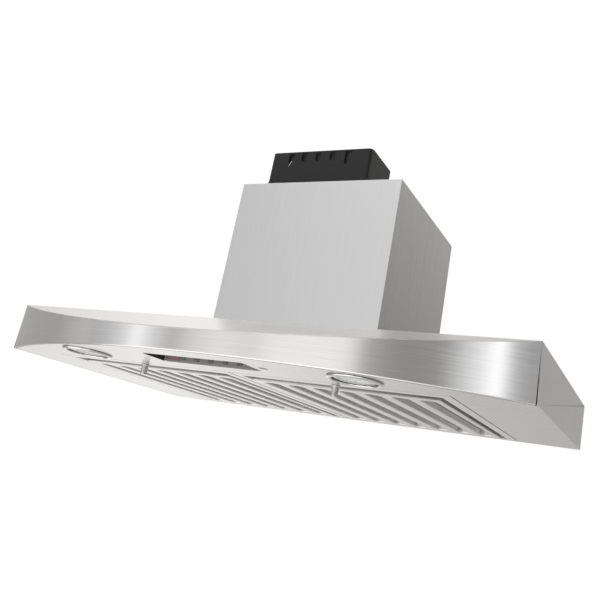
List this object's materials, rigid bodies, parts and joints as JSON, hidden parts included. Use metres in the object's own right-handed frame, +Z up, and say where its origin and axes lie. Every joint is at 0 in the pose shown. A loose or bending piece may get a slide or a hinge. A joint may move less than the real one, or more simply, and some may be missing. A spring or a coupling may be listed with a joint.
{
  "type": "range hood",
  "caption": "Stainless chimney range hood with a bowed front, tilting baffle filters, recessed push buttons, round lamps and a blower with a damped outlet duct.",
  "frame": {"origin": "on the canopy's flat back face, on the centre line of the width and half-way up the canopy's sides", "axes": "+X to the right of someone facing the hood, +Y out of the back face towards the wall, +Z up"},
  "size_m": [0.9, 0.5975, 0.4671],
  "materials": {
    "brushed_steel": "brushed stainless sheet, fine straight grain",
    "filter_steel": "satin stainless baffles",
    "chrome": "polished chrome",
    "galvanised_steel": "galvanised sheet, dull",
    "spring_steel": "spring strip",
    "shaft_steel": "ground",
    "black_plastic": "moulded, fine grain",
    "fan_plastic": "moulded",
    "grey_plastic": "satin",
    "display_glass": "dark red display window",
    "sensor_window": "smoked",
    "circuit_board": "solder mask",
    "lamp_glass": "frosted lens"
  },
  "bodies": {
    "hood": {"canopy_shell": "brushed_steel", "front_panel": "brushed_steel", "underside_plate_left": "brushed_steel", "underside_plate_right": "brushed_steel", "roof_screw_left": "chrome", "roof_screw_right": "chrome", "hanging_plate": "galvanised_steel", "sensor_window": "sensor_window", "chimney_cover": "brushed_steel", "chimney_back": "brushed_steel", "chimney_bracket": "galvanised_steel", "blower_plate": "galvanised_steel", "scroll_band": "black_plastic", "scroll_side_left": "black_plastic", "scroll_side_right": "black_plastic", "outlet_duct": "black_plastic", "motor": "galvanised_steel", "motor_bracket": "galvanised_steel", "motor_capacitor": "grey_plastic", "junction_box": "galvanised_steel", "junction_lid": "galvanised_steel", "cable_gland": "black_plastic", "control_tray": "black_plastic", "control_panel": "grey_plastic", "display_window": "display_glass", "control_board": "circuit_board", "lamp_bezel_left": "chrome", "lamp_lens_left": "lamp_glass", "lamp_reflector_left": "chrome", "lamp_housing_left": "black_plastic", "lamp_bezel_right": "chrome", "lamp_lens_right": "lamp_glass", "lamp_reflector_right": "chrome", "lamp_housing_right": "black_plastic"},
    "left_filter": {"filter_frame_left": "filter_steel", "upper_baffles_left": "filter_steel", "filter_knob_left": "chrome", "filter_clip_left": "spring_steel"},
    "right_filter": {"filter_frame_right": "filter_steel", "upper_baffles_right": "filter_steel", "filter_knob_right": "chrome", "filter_clip_right": "spring_steel"},
    "fan": {"impeller": "fan_plastic", "fan_shaft": "shaft_steel"},
    "front_flap": {"damper_flap_front": "galvanised_steel"},
    "back_flap": {"damper_flap_back": "galvanised_steel"},
    "power_key": {"button_power": "black_plastic"},
    "light_key": {"button_light": "black_plastic"},
    "slower_key": {"button_slower": "black_plastic"},
    "faster_key": {"button_faster": "black_plastic"},
    "timer_key": {"button_timer": "black_plastic"}
  },
  "joints": [
    {"name": "left_filter_tilt", "type": "hinge", "parent": "hood", "child": "left_filter", "pos_m": [-0.17075, -0.015, -0.0385], "axis": [1, 0, 0], "range_deg": [0, 75]},
    {"name": "right_filter_tilt", "type": "hinge", "parent": "hood", "child": "right_filter", "pos_m": [0.17075, -0.015, -0.0385], "axis": [1, 0, 0], "range_deg": [0, 75]},
    {"name": "fan_spin", "type": "hinge", "parent": "hood", "child": "fan", "pos_m": [-0.0131, -0.15, 0.188], "axis": [1, 0, 0], "continuous": true},
    {"name": "front_flap_swing", "type": "hinge", "parent": "hood", "child": "front_flap", "pos_m": [-0.0131, -0.2587, 0.326], "axis": [-1, 0, 0], "range_deg": [0, 78]},
    {"name": "back_flap_swing", "type": "hinge", "parent": "hood", "child": "back_flap", "pos_m": [-0.0131, -0.2523, 0.326], "axis": [1, 0, 0], "range_deg": [0, 78]},
    {"name": "power_press", "type": "slide", "parent": "hood", "child": "power_key", "axis": [0, 1, 0], "range_m": [0, 0.001], "stiffness_N_per_m": 500, "springref_m": -0.001},
    {"name": "light_press", "type": "slide", "parent": "hood", "child": "light_key", "axis": [0, 1, 0], "range_m": [0, 0.001], "stiffness_N_per_m": 500, "springref_m": -0.001},
    {"name": "slower_press", "type": "slide", "parent": "hood", "child": "slower_key", "axis": [0, 1, 0], "range_m": [0, 0.001], "stiffness_N_per_m": 500, "springref_m": -0.001},
    {"name": "faster_press", "type": "slide", "parent": "hood", "child": "faster_key", "axis": [0, 1, 0], "range_m": [0, 0.001], "stiffness_N_per_m": 500, "springref_m": -0.001},
    {"name": "timer_press", "type": "slide", "parent": "hood", "child": "timer_key", "axis": [0, 1, 0], "range_m": [0, 0.001], "stiffness_N_per_m": 500, "springref_m": -0.001}
  ]
}
